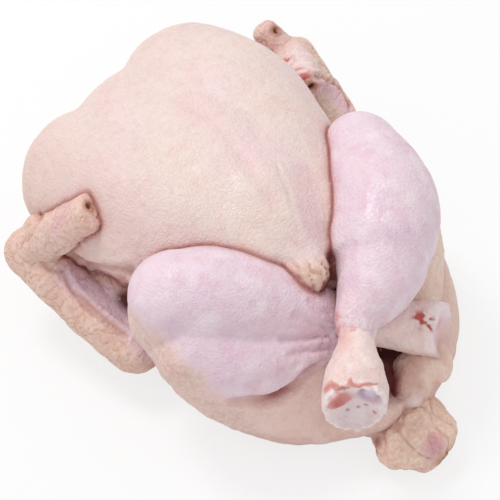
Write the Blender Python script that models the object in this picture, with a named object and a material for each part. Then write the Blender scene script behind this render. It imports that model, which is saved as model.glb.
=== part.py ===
"""A whole raw chicken, lying on its back with its legs crossed, as one solid.

Run it with: blender --background --python part.py

Metres, +Z up. The bird's back lies on z = 0 and its breast faces up, its neck end points to +Y and its tail to -Y.
The left side is the one at -X. The origin is under the middle of the bird's bounding box.

Every muscle and limb is a loft: a ring that is extruded from station to station along a curved line.
The lofts overlap each other, and a voxel remesh welds them into one skin.
"""

import math

import bmesh
import bpy
from mathutils import Matrix, Vector

MM = 0.001

# Driving dimensions
RING_SIDES = 28
STEPS_BETWEEN_STATIONS = 4
DOME_RINGS = 4
VOXEL = 2.0 * MM
SKIN_SMOOTHING = 0.5
SKIN_SMOOTHING_PASSES = 8
TRIANGLES_KEPT = 7600
SQUASHED = 2.5 * MM  # how much of the back the table presses flat
SKIN_COLOUR = (0.80, 0.62, 0.58, 1.0)
SKIN_ROUGHNESS = 0.38


def mm(x, y, z):
    """A point in metres from millimetres."""
    return Vector((x, y, z)) * MM


def catmull_rom(before, start, end, after, share):
    """The value between start and end at this share of the way, on a smooth curve through all four."""
    square = share * share
    cube = square * share
    return (
        start * 2
        + (end - before) * share
        + (before * 2 - start * 5 + end * 4 - after) * square
        + (start * 3 - before - end * 3 + after) * cube
    ) * 0.5


def smooth_stations(stations):
    """Stations on the smooth curve through the given ones, each a (centre, half width, half height)."""
    packed = [(centre, Vector((wide, high, 0.0))) for centre, wide, high in stations]
    padded = [packed[0], *packed, packed[-1]]
    dense = []
    for i in range(1, len(padded) - 2):
        for step in range(STEPS_BETWEEN_STATIONS):
            share = step / STEPS_BETWEEN_STATIONS
            four = padded[i - 1 : i + 3]
            centre = catmull_rom(*(s[0] for s in four), share)
            size = catmull_rom(*(s[1] for s in four), share)
            dense.append((centre, size.x, size.y))
    dense.append(stations[-1])
    return dense


def ring_matrix(centre, ahead, up, wide, high):
    """Turns the unit circle into the ring at this station: X is its width, Y its height and Z the way ahead."""
    side = ahead.cross(up).normalized()
    above = side.cross(ahead).normalized()
    turn = Matrix((side, above, ahead)).transposed().to_4x4()
    return Matrix.Translation(centre) @ turn @ Matrix.Diagonal((wide, high, 1.0, 1.0))


def loft(bm, stations, up=Vector((0, 0, 1)), start_dome=1.0, end_dome=1.0):
    """Extrudes a ring through the stations and closes both ends with a dome.

    A dome's depth is its share of the end ring's smaller radius: 1 is a half ball, and 0 is a flat cut.
    """
    dense = smooth_stations(stations)
    rings = []
    for i, (centre, wide, high) in enumerate(dense):
        ahead = (dense[min(i + 1, len(dense) - 1)][0] - dense[max(i - 1, 0)][0]).normalized()
        rings.append((centre, ahead, wide, high))

    def dome(centre, ahead, wide, high, share):
        depth = share * min(wide, high)
        made = []
        for step in range(1, DOME_RINGS + 1):
            angle = 0.5 * math.pi * (step - 0.2) / DOME_RINGS
            shrink = math.cos(angle)
            made.append((centre + ahead * depth * math.sin(angle), abs(wide * shrink), abs(high * shrink)))
        return made

    centre, ahead, wide, high = rings[0]
    before = [(c, ahead, w, h) for c, w, h in dome(centre, -ahead, wide, high, start_dome)] if start_dome else []
    centre, ahead, wide, high = rings[-1]
    after = [(c, ahead, w, h) for c, w, h in dome(centre, ahead, wide, high, end_dome)] if end_dome else []
    matrices = [ring_matrix(c, a, up, w, h) for c, a, w, h in [*reversed(before), *rings, *after]]

    made = bmesh.ops.create_circle(bm, cap_ends=True, radius=1.0, segments=RING_SIDES, matrix=matrices[0])
    face = made["verts"][0].link_faces[0]
    for last, following in zip(matrices, matrices[1:]):
        grown = bmesh.ops.extrude_face_region(bm, geom=[face], use_keep_orig=True)
        if last is not matrices[0]:
            bmesh.ops.delete(bm, geom=[face], context="FACES_ONLY")
        face = next(g for g in grown["geom"] if isinstance(g, bmesh.types.BMFace))
        bmesh.ops.transform(bm, matrix=following @ last.inverted(), verts=face.verts)


def station_along(points, profile):
    """Stations on the line through the points, with each profile entry a (share, half width, half height)."""
    lengths = [0.0]
    for a, b in zip(points, points[1:]):
        lengths.append(lengths[-1] + (b - a).length)
    stations = []
    for share, wide, high in profile:
        distance = share * lengths[-1]
        i = max(k for k in range(len(points) - 1) if lengths[k] <= distance + 1e-9)
        part = (distance - lengths[i]) / (lengths[i + 1] - lengths[i])
        stations.append((points[i].lerp(points[i + 1], part), wide * MM, high * MM))
    return stations


# The carcass


def add_trunk(bm):
    """Back, ribs and hips: one long rounded body from the neck end to the root of the tail."""
    stations = [
        (mm(6, 86, 46), 46 * MM, 36 * MM),
        (mm(8, 66, 43), 56 * MM, 41 * MM),
        (mm(11, 30, 42), 58 * MM, 42 * MM),
        (mm(12, 0, 38), 54 * MM, 38 * MM),
        (mm(12, -35, 31), 47 * MM, 31 * MM),
        (mm(11, -62, 23), 38 * MM, 22 * MM),
        (mm(6, -88, 17), 22 * MM, 16 * MM),
    ]
    loft(bm, stations, start_dome=0.5, end_dome=0.7)


BREAST = {
    "left": (
        (-26.5, 80, 56, 33, 34),
        (-25, 54, 65, 37, 38),
        (-18, 22, 69, 36, 35),
        (-10, -5, 71, 28, 28),
        (-5, -32, 72, 21, 21),
        (-2, -46, 74, 14, 14),
    ),
    "right": (
        (36, 79, 62, 37, 38),
        (38, 54, 69, 38, 38),
        (33, 22, 70, 34, 35),
        (24, -5, 71, 28, 28),
        (12, -32, 71, 22, 22),
        (4, -46, 74, 14, 14),
    ),
}
KEEL = (
    (7, 74, 64, 38, 33),
    (8, 50, 74, 40, 31),
    (8, 22, 78, 38, 28),
    (6, -5, 80, 28, 25),
    (1, -32, 78, 19, 20),
    (-1, -46, 77, 13, 13),
)


def stations_of(table):
    return [(mm(x, y, z), wide * MM, high * MM) for x, y, z, wide, high in table]


def add_breast(bm):
    """Two breast muscles, fat at the shoulder and drawn in to the tip of the keel, with the keel between them."""
    for table in (*BREAST.values(), KEEL):
        loft(bm, stations_of(table), start_dome=0.9)


KNEE = {"left": mm(-53, -8, 82), "right": mm(59.5, -10.5, 85)}
CALF = {"left": mm(-29, -28, 74), "right": mm(47.5, -36, 83)}
SHIN = {"left": mm(4, -54, 58), "right": mm(-3, -69, 78)}
ANKLE = {"left": mm(36, -82, 45), "right": mm(-31, -95, 73)}
HIP = {"left": mm(-20, -64, 26), "right": mm(37, -58, 20)}


def add_thigh(bm, side):
    """The thick upper leg, from the hip up to the bent knee."""
    knee = KNEE[side]
    hip = HIP[side]
    outward = -1 if side == "left" else 1
    middle = knee.lerp(hip, 0.5) + mm(6 * outward, 0, -8)
    stations = [
        (hip, 22 * MM, 20 * MM),
        (middle, 26 * MM, 28 * MM),
        (knee + mm(2 * outward, 0, -12), 19 * MM, 20 * MM),
    ]
    loft(bm, stations)


DRUMSTICK_PROFILE = {
    "left": (
        (0.00, 19, 19), (0.10, 22, 22), (0.24, 25, 25), (0.35, 24, 24), (0.44, 20, 20),
        (0.52, 16.5, 16.5), (0.60, 13, 13), (0.70, 10, 10), (0.80, 9.5, 9.5), (0.90, 12, 12), (1.00, 13, 12.5),
    ),
    "right": (
        (0.00, 18, 18), (0.10, 22, 22), (0.24, 25, 25), (0.36, 24.5, 24.5), (0.48, 20, 20),
        (0.56, 16.5, 16.5), (0.63, 12.3, 12.3), (0.70, 9.5, 9.5), (0.78, 9, 9), (0.90, 12.5, 12.5), (1.00, 14, 13),
    ),
}


def add_drumstick(bm, side):
    """The lower leg: a fat calf at the knee that thins down to the cut ankle."""
    line = [KNEE[side], CALF[side], SHIN[side], ANKLE[side]]
    loft(bm, station_along(line, DRUMSTICK_PROFILE[side]), end_dome=0.25)


RUMP = {
    "left": (
        (-42, -32, 25, 18, 21),
        (-33, -54, 26, 19, 19),
        (-17, -73, 26, 17, 16),
        (-4, -85, 27, 13, 13),
    ),
    "right": (
        (67, -33, 28, 16, 20),
        (54, -60, 20, 17, 16),
        (38, -80, 15, 15, 13),
        (24, -92, 17, 12, 12),
    ),
}


def add_rump(bm, side):
    """The ridge of skin and muscle from the hip round to the edge of the vent."""
    loft(bm, stations_of(RUMP[side]))


ELBOW = {"left": mm(-61, 11, 27), "right": mm(86, 20, 32)}
WRIST = {"left": mm(-70, 74, 48), "right": mm(94, 67, 56)}
HAND_CUT = {"left": mm(-48, 51, 80), "right": mm(79, 44, 67)}
THUMB_TIP = {"left": mm(-59, 71, 70), "right": mm(90, 83, 67)}
SHOULDER = {"left": mm(-36, 60, 40), "right": mm(54, 60, 40)}


def add_wing(bm, side):
    """Upper arm along the ribs, forearm forward again, hand folded back on the breast, thumb and armpit skin."""
    upper_arm = station_along([SHOULDER[side], ELBOW[side]], ((0, 17, 17), (0.5, 15, 15), (1, 12, 12)))
    loft(bm, upper_arm)
    forearm = station_along([ELBOW[side], WRIST[side]], ((0, 13, 12), (0.3, 14, 11), (0.7, 13, 11), (1, 12, 11)))
    loft(bm, forearm)
    hand = station_along([WRIST[side], HAND_CUT[side]], ((0, 11, 11), (0.4, 12, 10), (1, 11, 8)))
    loft(bm, hand, end_dome=0.3)
    thumb = station_along([WRIST[side], THUMB_TIP[side]], ((0, 10, 9), (1, 8, 7)))
    loft(bm, thumb, end_dome=0.7)
    web = station_along([SHOULDER[side], ELBOW[side].lerp(WRIST[side], 0.6)], ((0, 18, 18), (1, 11, 10)))
    loft(bm, web)


def add_tail(bm):
    """The parson's nose: a thick blunt flap of fat behind the hips."""
    stations = [
        (mm(6, -86, 14), 18 * MM, 12 * MM),
        (mm(5, -101, 15), 20 * MM, 12 * MM),
        (mm(3, -114, 14), 17 * MM, 10 * MM),
    ]
    loft(bm, stations, end_dome=0.8)


CAVITY = (
    (10, 40, 43, 20, 18),
    (12, 12, 42, 31, 25),
    (12, -14, 42, 33, 26),
    (12, -40, 44, 29, 24),
    (11, -65, 47, 21, 21),
    (8, -90, 50, 16, 20),
    (6, -125, 54, 14, 20),
)


def skin_material():
    material = bpy.data.materials.new("raw_skin")
    material.use_nodes = True
    shader = material.node_tree.nodes["Principled BSDF"]
    shader.inputs["Base Color"].default_value = SKIN_COLOUR
    shader.inputs["Roughness"].default_value = SKIN_ROUGHNESS
    return material


def clear_scene():
    for old in list(bpy.data.objects):
        bpy.data.objects.remove(old)


def mesh_object(name, bm, material):
    """A closed mesh object from a bmesh of lofts."""
    bmesh.ops.recalc_face_normals(bm, faces=bm.faces)
    mesh = bpy.data.meshes.new(name)
    bm.to_mesh(mesh)
    bm.free()
    mesh.materials.append(material)
    made = bpy.data.objects.new(name, mesh)
    bpy.context.scene.collection.objects.link(made)
    return made


def weld_with_voxels(obj, name="one_skin"):
    remesh = obj.modifiers.new(name, "REMESH")
    remesh.mode = "VOXEL"
    remesh.voxel_size = VOXEL


def evaluated_mesh(obj):
    """The object's mesh with its modifiers applied."""
    bpy.context.view_layer.update()
    graph = bpy.context.evaluated_depsgraph_get()
    return bpy.data.meshes.new_from_object(obj.evaluated_get(graph), depsgraph=graph)


def carcass_with_cavity(material):
    """Everything but the drumsticks, with the body cavity cut out of it."""
    bm = bmesh.new()
    add_trunk(bm)
    add_breast(bm)
    for side in ("left", "right"):
        add_thigh(bm, side)
        add_rump(bm, side)
        add_wing(bm, side)
    add_tail(bm)
    carcass = mesh_object("carcass", bm, material)
    weld_with_voxels(carcass)
    bm = bmesh.new()
    loft(bm, stations_of(CAVITY))
    cavity = mesh_object("cavity_cutter", bm, material)
    cavity.hide_render = True
    cavity.display_type = "WIRE"
    cut = carcass.modifiers.new("cavity", "BOOLEAN")
    cut.operation = "DIFFERENCE"
    cut.object = cavity
    made = evaluated_mesh(carcass)
    bpy.data.objects.remove(carcass)
    return made


def rest_on_table(chicken, material):
    """Cuts the pressed part off the back, and puts the origin in the middle of the flat underside."""
    bm = bmesh.new()
    bmesh.ops.create_cube(bm, size=1.0, matrix=Matrix.Translation((0, 0, SQUASHED - 0.5)))
    table = mesh_object("table_cutter", bm, material)
    table.hide_render = True
    table.display_type = "WIRE"
    flatten = chicken.modifiers.new("flatten", "BOOLEAN")
    flatten.operation = "DIFFERENCE"
    flatten.object = table
    rested = evaluated_mesh(chicken)
    middles = [
        (min(v.co[i] for v in rested.vertices) + max(v.co[i] for v in rested.vertices)) / 2 for i in (0, 1)
    ]
    move = Vector((-middles[0], -middles[1], -SQUASHED))
    chicken.location = move
    table.location = move


def main():
    clear_scene()
    material = skin_material()
    bm = bmesh.new()
    bm.from_mesh(carcass_with_cavity(material))
    for side in ("left", "right"):
        add_drumstick(bm, side)
    chicken = mesh_object("chicken", bm, material)
    weld_with_voxels(chicken)
    soften = chicken.modifiers.new("soften", "SMOOTH")
    soften.factor = SKIN_SMOOTHING
    soften.iterations = SKIN_SMOOTHING_PASSES
    dense = evaluated_mesh(chicken)
    dense.calc_loop_triangles()
    thin_out = chicken.modifiers.new("thin_out", "DECIMATE")
    thin_out.ratio = TRIANGLES_KEPT / len(dense.loop_triangles)
    rest_on_table(chicken, material)
    bpy.data.meshes.remove(dense)


main()
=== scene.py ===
# %% [markdown]
# A whole raw chicken lies on its back with its legs crossed and its wings folded at its sides. The packed
# CAD model gives its place, size and collision. This script builds the skin over it: torso, legs, wings,
# shanks and tail, each one closed mesh. First comes the frame, and the box that everything has to stay
# inside.

# %% Load the frame
import math

import bmesh
import bpy
import numpy as np
from mathutils import Matrix, Vector, noise
from mathutils.bvhtree import BVHTree


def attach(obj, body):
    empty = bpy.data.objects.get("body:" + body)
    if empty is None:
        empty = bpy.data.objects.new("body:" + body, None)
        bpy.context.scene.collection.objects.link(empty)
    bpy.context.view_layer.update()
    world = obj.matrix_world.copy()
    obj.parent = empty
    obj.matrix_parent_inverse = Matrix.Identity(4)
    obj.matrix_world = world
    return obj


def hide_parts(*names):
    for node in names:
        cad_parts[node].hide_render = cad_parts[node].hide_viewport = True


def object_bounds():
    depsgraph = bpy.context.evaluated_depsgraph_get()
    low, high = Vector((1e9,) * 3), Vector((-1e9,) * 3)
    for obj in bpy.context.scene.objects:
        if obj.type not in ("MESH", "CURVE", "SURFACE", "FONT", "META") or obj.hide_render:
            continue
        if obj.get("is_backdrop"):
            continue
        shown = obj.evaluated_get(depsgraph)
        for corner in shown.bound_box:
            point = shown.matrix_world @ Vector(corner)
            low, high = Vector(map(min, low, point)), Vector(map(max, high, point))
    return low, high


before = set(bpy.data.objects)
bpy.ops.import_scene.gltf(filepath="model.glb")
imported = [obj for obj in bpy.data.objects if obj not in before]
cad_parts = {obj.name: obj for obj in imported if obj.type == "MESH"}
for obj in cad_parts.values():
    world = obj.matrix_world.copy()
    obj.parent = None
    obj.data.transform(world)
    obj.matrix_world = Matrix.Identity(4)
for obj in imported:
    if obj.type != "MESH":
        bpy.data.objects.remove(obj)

MM = 0.001
cad_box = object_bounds()
print("CAD box, mm:", [[round(value / MM, 1) for value in corner] for corner in cad_box])

# %% [markdown]
# The bird is drawn in its own millimetres, with the spine near x = 10 and the back at z = 0. The CAD
# model then moved it so that the origin is in the middle of the underside. One shift does the same here,
# and the table presses the lowest 2.5 mm of the back flat.

# %% Where the drawing sits in the frame
PLACE = Vector((-11.89, 4.83, -2.5)) * MM


def mm(x, y, z):
    """A point of the drawing, in metres of the frame."""
    return Vector((x, y, z)) * MM + PLACE


print("drawing shifted by", [round(value / MM, 2) for value in PLACE], "mm")

# %% [markdown]
# Muscles and limbs are tubes whose thickness changes along a curved line, so each is a loft: a disc that
# is extruded from station to station. A Catmull-Rom curve through the stations keeps the outline smooth,
# and a dome closes each end. A subdivided cage would need a different cage for each limb, and the loft
# needs only a short table.

# %% Smooth stations
def catmull_rom(before, start, end, after, share):
    """The value between start and end at this share of the way, on a smooth curve through all four."""
    square, cube = share * share, share ** 3
    return (
        start * 2
        + (end - before) * share
        + (before * 2 - start * 5 + end * 4 - after) * square
        + (start * 3 - before - end * 3 + after) * cube
    ) * 0.5


def smooth_stations(stations, steps=5):
    """Stations on the smooth curve through the given ones, each a (centre, half width, half height)."""
    packed = [(centre, Vector((wide, high, 0.0))) for centre, wide, high in stations]
    padded = [packed[0], *packed, packed[-1]]
    dense = []
    for i in range(1, len(padded) - 2):
        for step in range(steps):
            four = padded[i - 1 : i + 3]
            centre = catmull_rom(*(station[0] for station in four), step / steps)
            size = catmull_rom(*(station[1] for station in four), step / steps)
            dense.append((centre, size.x, size.y))
    return [*dense, stations[-1]]


def table_stations(table):
    """Stations in metres from rows of x, y, z, half width and half height in millimetres."""
    return [(mm(x, y, z), wide * MM, high * MM) for x, y, z, wide, high in table]


def line_stations(points, profile):
    """One station on the line through the points for each row of share, half width and half height."""
    reach = [0.0]
    for a, b in zip(points, points[1:]):
        reach.append(reach[-1] + (b - a).length)
    stations = []
    for share, wide, high in profile:
        distance = share * reach[-1]
        i = max(k for k in range(len(points) - 1) if reach[k] <= distance + 1e-9)
        part = (distance - reach[i]) / (reach[i + 1] - reach[i])
        stations.append((points[i].lerp(points[i + 1], part), wide * MM, high * MM))
    return stations


# %% One loft
def ring_matrix(centre, ahead, wide, high):
    """Turns the unit disc into the disc at a station: X is its width, Y its height and Z the way ahead."""
    side = ahead.cross(Vector((0, 0, 1))).normalized()
    turn = Matrix((side, side.cross(ahead).normalized(), ahead)).transposed().to_4x4()
    return Matrix.Translation(centre) @ turn @ Matrix.Diagonal((wide, high, 1.0, 1.0))


def dome(centre, ahead, wide, high, share, rings=6):
    """Rings that shrink to close an end. Share 1 is half a ball, and a small share is nearly flat."""
    depth = share * min(wide, high)
    closing = []
    for step in range(1, rings + 1):
        angle = 0.5 * math.pi * (step - 0.2) / rings
        shrink = math.cos(angle)
        closing.append((centre + ahead * depth * math.sin(angle), ahead, wide * shrink, high * shrink))
    return closing


def way_ahead(stations, i):
    """The direction of the line at station i."""
    before, after = stations[max(i - 1, 0)], stations[min(i + 1, len(stations) - 1)]
    return (after[0] - before[0]).normalized()


def grow_tube(bm, matrices, sides):
    """Extrudes a disc from ring to ring, so that the rings become one closed tube."""
    made = bmesh.ops.create_circle(bm, cap_ends=True, radius=1.0, segments=sides, matrix=matrices[0])
    face = made["verts"][0].link_faces[0]
    for last, following in zip(matrices, matrices[1:]):
        grown = bmesh.ops.extrude_face_region(bm, geom=[face], use_keep_orig=True)
        if last is not matrices[0]:
            bmesh.ops.delete(bm, geom=[face], context="FACES_ONLY")
        face = next(part for part in grown["geom"] if isinstance(part, bmesh.types.BMFace))
        bmesh.ops.transform(bm, matrix=following @ last.inverted(), verts=face.verts)


def loft(bm, stations, start_dome=1.0, end_dome=1.0, sides=40):
    """Adds one closed tube through the stations."""
    dense = smooth_stations(stations)
    rings = [(centre, way_ahead(dense, i), wide, high) for i, (centre, wide, high) in enumerate(dense)]
    centre, ahead, wide, high = rings[0]
    start = [(c, ahead, w, h) for c, _, w, h in dome(centre, -ahead, wide, high, start_dome)]
    end = dome(*rings[-1], end_dome)
    grow_tube(bm, [ring_matrix(*ring) for ring in [*reversed(start), *rings, *end]], sides)


# %% [markdown]
# Flesh has no seams, so the lofts of one piece are welded: a voxel remesh turns everything inside their
# common outline into one even quad mesh, and smoothing then rounds the lines where they met. A union
# Boolean would keep every knife-edge. The result is read back as a plain mesh, because folds and colours
# are set on its points next.

# %% Weld lofts into one skin
def link(name, mesh):
    made = bpy.data.objects.new(name, mesh)
    bpy.context.scene.collection.objects.link(made)
    return made


def mesh_of(name, bm):
    """A mesh object from a bmesh, with its faces turned outwards."""
    bmesh.ops.recalc_face_normals(bm, faces=bm.faces)
    mesh = bpy.data.meshes.new(name)
    bm.to_mesh(mesh)
    bm.free()
    return link(name, mesh)


def applied(obj):
    """Applies the object's modifiers and returns the object with its final mesh."""
    bpy.context.view_layer.update()
    graph = bpy.context.evaluated_depsgraph_get()
    mesh = bpy.data.meshes.new_from_object(obj.evaluated_get(graph), depsgraph=graph)
    name = obj.name
    bpy.data.objects.remove(obj)
    mesh.shade_smooth()
    return link(name, mesh)


def weld(obj, voxel, passes, cutter=None):
    """Voxel remesh, then an optional cut and a second remesh, then smoothing."""
    for turn in range(1 if cutter is None else 2):
        remesh = obj.modifiers.new("one_skin", "REMESH")
        remesh.mode = "VOXEL"
        remesh.voxel_size = voxel * MM
        if cutter and turn == 0:
            cut = obj.modifiers.new("hollow", "BOOLEAN")
            cut.operation = "DIFFERENCE"
            cut.object = cutter
    soften = obj.modifiers.new("soften", "SMOOTH")
    soften.factor = 0.5
    soften.iterations = passes
    welded = applied(obj)
    print(welded.name, "has", len(welded.data.polygons), "quads")
    return welded


# %% [markdown]
# Folds, wrinkles and colours are worked on the points of the finished skins, as a sculptor would, with
# whole arrays in numpy. Skin holds one piece while that happens: its points, its outward directions and
# the colour of each point.

# %% Sculpting and painting helpers
def smooth_step(low, high, value):
    share = np.clip((value - low) / (high - low), 0.0, 1.0)
    return share * share * (3.0 - 2.0 * share)


class Skin:
    """One piece's points, and the moves and paints that are made on them."""

    def __init__(self, obj, colour):
        self.obj = obj
        self.count = len(obj.data.vertices)
        self.read()
        self.tint = np.tile(np.array(colour), (self.count, 1))
        self.follicles = np.zeros(self.count)
        self.crinkle = np.zeros(self.count)
        self.wet = np.full(self.count, 0.4)

    def read(self):
        """Fetches the points, in millimetres of the drawing, and their normals."""
        flat = np.empty(self.count * 3)
        self.obj.data.vertices.foreach_get("co", flat)
        self.points = (flat.reshape(-1, 3) - np.array(PLACE)) / MM
        self.obj.data.vertices.foreach_get("normal", flat)
        self.normals = flat.reshape(-1, 3).copy()

    def write(self):
        """Puts the moved points back, pressed flat where they would be under the table."""
        points = self.points * MM + np.array(PLACE)
        points[:, 2] = np.maximum(points[:, 2], 0.0)
        self.obj.data.vertices.foreach_set("co", points.ravel())
        self.obj.data.update()
        self.read()

    def push(self, amount):
        """Moves each point along its normal by its amount, in millimetres."""
        self.points += self.normals * np.asarray(amount)[:, None]

    def paint(self, mask, colour):
        share = np.clip(mask, 0.0, 1.0)[:, None]
        self.tint = self.tint * (1.0 - share) + np.array(colour) * share

    def near(self, points, reach):
        """1 on the line through the points and 0 at this reach from it."""
        distance = self.distance(points)
        return 1.0 - smooth_step(0.0, reach, distance)

    def distance(self, points):
        """Each point's distance from the line through the given points."""
        ends = [np.array(point, float) for point in points]
        best = np.full(self.count, 1e9)
        for a, b in zip(ends, ends[1:] or ends):
            run = b - a
            share = np.clip((self.points - a) @ run / max(run @ run, 1e-9), 0.0, 1.0)
            best = np.minimum(best, np.linalg.norm(self.points - a - share[:, None] * run, axis=1))
        return best

    def snapped(self, points, steps=6):
        """The line through the points, laid onto this skin."""
        ends = [np.array(point, float) for point in points]
        dense = [a + (b - a) * step / steps for a, b in zip(ends, ends[1:]) for step in range(steps)]
        dense.append(ends[-1])
        line = np.array([self.points[np.argmin(((self.points - point) ** 2).sum(axis=1))] for point in dense])
        if len(line) > 2:
            line[1:-1] = (line[:-2] + 2.0 * line[1:-1] + line[2:]) / 4.0
        return list(line)

    def fold(self, points, reach, depth, lip=0.35):
        """Presses a crease along the line, with a low lip on both sides of it."""
        distance = self.distance(self.snapped(points)) / reach
        groove = -depth * np.exp(-(distance * 2.0) ** 2)
        lips = depth * lip * np.exp(-((distance - 1.0) * 2.5) ** 2)
        self.push(groove + lips)

    def grain(self, scale, seed=0.0):
        """Smooth noise from -1 to 1. Scale is in cycles per millimetre, one number or one for each axis."""
        stretched = self.points * np.array(scale) + seed
        return np.array([noise.noise(point) for point in stretched.tolist()])

    def along(self, stations):
        """How far along a limb each point is, and its distance over the limb's own radius."""
        centres = np.array([list((c - PLACE) / MM) for c, _, _ in stations])
        radii = np.array([0.5 * (w + h) / MM for _, w, h in stations])
        best = np.full(self.count, 1e9)
        share = np.zeros(self.count)
        for i, (centre, radius) in enumerate(zip(centres, radii)):
            ratio = np.linalg.norm(self.points - centre, axis=1) / radius
            closer = ratio < best
            best[closer] = ratio[closer]
            share[closer] = i / (len(centres) - 1)
        return share, best

    def finish(self, material):
        """Stores the colours and masks on the mesh, and hands the piece over to the frame."""
        self.write()
        mesh = self.obj.data
        colours = np.concatenate([self.tint, np.ones((self.count, 1))], axis=1)
        mesh.attributes.new("tint", "FLOAT_COLOR", "POINT").data.foreach_set("color", colours.ravel())
        for name, values in (("follicles", self.follicles), ("crinkle", self.crinkle), ("wet", self.wet)):
            mesh.attributes.new(name, "FLOAT", "POINT").data.foreach_set("value", values)
        hand_over(self.obj, material)


def hand_over(obj, material):
    """Gives a finished piece its material, and makes it stand for the CAD solid."""
    obj.data.materials.clear()
    obj.data.materials.append(material)
    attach(obj, "root")
    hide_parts("chicken")
    print("finished", obj.name)


# %% [markdown]
# Shader maths reads best as sums. Socket wraps one output, so that 1 - mask * 0.3 adds the Math nodes by
# itself, and Finish holds one material and makes any other node from its type, its settings and its
# inputs.

# %% Shader helpers
class Socket:
    """One node output that can be used in Python sums."""

    def __init__(self, finish, output):
        self.finish = finish
        self.output = output

    def sum_with(self, operation, *others):
        return self.finish.node("ShaderNodeMath", {"operation": operation}, dict(enumerate(others)))

    def __add__(self, other):
        return self.sum_with("ADD", self, other)

    def __mul__(self, other):
        return self.sum_with("MULTIPLY", self, other)

    def __sub__(self, other):
        return self.sum_with("SUBTRACT", self, other)

    def __rsub__(self, other):
        return self.sum_with("SUBTRACT", other, self)

    __radd__ = __add__
    __rmul__ = __mul__

    def ramp(self, low, high):
        """0 below low and 1 above high, or the other way round."""
        settings = {"interpolation_type": "SMOOTHSTEP"}
        inputs = {"Value": self, "From Min": low, "From Max": high}
        return self.finish.node("ShaderNodeMapRange", settings, inputs)


class Finish:
    """A material whose nodes are added one by one."""

    def __init__(self, name):
        self.material = bpy.data.materials.new(name)
        self.material.use_nodes = True
        self.tree = self.material.node_tree
        self.shader = self.tree.nodes["Principled BSDF"]

    def feed(self, node, inputs):
        for key, value in inputs.items():
            if isinstance(value, Socket):
                self.tree.links.new(value.output, node.inputs[key])
            else:
                node.inputs[key].default_value = value

    def node(self, kind, settings=(), inputs=(), output=0):
        """Adds a node: its settings first, then its inputs, and returns one of its outputs."""
        made = self.tree.nodes.new(kind)
        for key, value in dict(settings).items():
            setattr(made, key, value)
        self.feed(made, dict(inputs))
        return Socket(self, made.outputs[output])

    def spot(self, name, output):
        """An attribute that the mesh carries."""
        return self.node("ShaderNodeAttribute", {"attribute_name": name}, output=output)

    def noise(self, place, scale, detail=2.0):
        return self.node("ShaderNodeTexNoise", (), {"Vector": place, "Scale": scale, "Detail": detail})

    def cells(self, place, scale, feature="F1"):
        """Distances in a pattern of cells."""
        inputs = {"Vector": place, "Scale": scale}
        return self.node("ShaderNodeTexVoronoi", {"feature": feature}, inputs, "Distance")

    def mix(self, share, first, second, blend="MIX"):
        """Two colours mixed by a share."""
        settings = {"data_type": "RGBA", "blend_type": blend, "clamp_factor": True}
        return self.node("ShaderNodeMix", settings, {0: share, 6: first, 7: second}, output=2)

    def surface(self, **values):
        """Sets the shader's sockets. Underscores stand for spaces."""
        self.feed(self.shader, {key.replace("_", " "): value for key, value in values.items()})
        return self.material


# %% [markdown]
# Raw skin is pale, moist and slightly see-through. Large soft patches and fine threads vary its colour,
# goose-flesh lumps rise where feathers sat, and thin water films make small bright glints. The masks
# painted on the mesh say how strong the lumps and the crinkles are, so one material serves all the skin.

# %% Raw skin
PATCH_TINT = (1.0, 0.92, 0.9, 1.0)
BLOTCH_TINT = (0.95, 0.85, 0.87, 1.0)
THREAD_TINT = (0.9, 0.79, 0.77, 1.0)
SPECK_COLOUR = (0.95, 0.87, 0.83, 1.0)
LUMP_TINT = (0.82, 0.66, 0.6, 1.0)
THREAD_SCALE = (950.0, 300.0, 300.0)


def raw_skin():
    """The one material of the bird. Scales are in cycles per metre, and bump heights in parts of 0.9 mm."""
    skin = Finish("raw_skin")
    place = skin.node("ShaderNodeTexCoord", output="Object")
    tint = skin.spot("tint", "Color")
    follicles = skin.spot("follicles", "Fac")
    crinkle = skin.spot("crinkle", "Fac")
    wet = skin.spot("wet", "Fac")
    patches = skin.noise(place, 60.0, 3.0)
    blotches = skin.noise(place, 230.0, 5.0)
    stretched = skin.node("ShaderNodeMapping", (), {"Vector": place, "Scale": THREAD_SCALE})
    threads = skin.noise(stretched, 1.0, 3.0)
    net = skin.cells(place, 520.0, "DISTANCE_TO_EDGE")
    lumps = skin.cells(place, 600.0, "SMOOTH_F1")
    specks = skin.cells(place, 190.0)
    colour = skin.mix(patches.ramp(0.5, 0.7) * 0.5, tint, PATCH_TINT, "MULTIPLY")
    colour = skin.mix(blotches.ramp(0.48, 0.7) * 0.5, colour, BLOTCH_TINT, "MULTIPLY")
    colour = skin.mix(threads.ramp(0.52, 0.75) * crinkle * 0.7, colour, THREAD_TINT, "MULTIPLY")
    colour = skin.mix(specks.ramp(0.16, 0.06) * 0.3, colour, SPECK_COLOUR)
    colour = skin.mix(lumps.ramp(0.15, 0.65) * follicles * 0.6, colour, LUMP_TINT, "MULTIPLY")
    fine = skin.noise(place, 1600.0, 3.0)
    dents = skin.noise(place, 420.0, 3.0)
    height = fine * 0.18 + dents * 0.6 + threads * crinkle * 0.8
    height = height + net.ramp(0.0, 0.25) * 0.16 - lumps * follicles * 0.9
    bump = skin.node("ShaderNodeBump", (), {"Strength": 0.75, "Distance": 0.0009, "Height": height})
    film = skin.noise(place, 150.0, 4.0).ramp(0.42, 0.62) * wet
    return skin.surface(
        Base_Color=colour,
        Roughness=0.52 - film * 0.24 + blotches * 0.06,
        Normal=bump,
        Coat_Weight=film * 0.18,
        Coat_Roughness=0.25,
        Subsurface_Weight=0.1,
        Subsurface_Radius=(1.0, 0.45, 0.35),
        Subsurface_Scale=0.002,
    )


skin_finish = raw_skin()
print("raw skin has", len(skin_finish.node_tree.nodes), "nodes")

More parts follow.
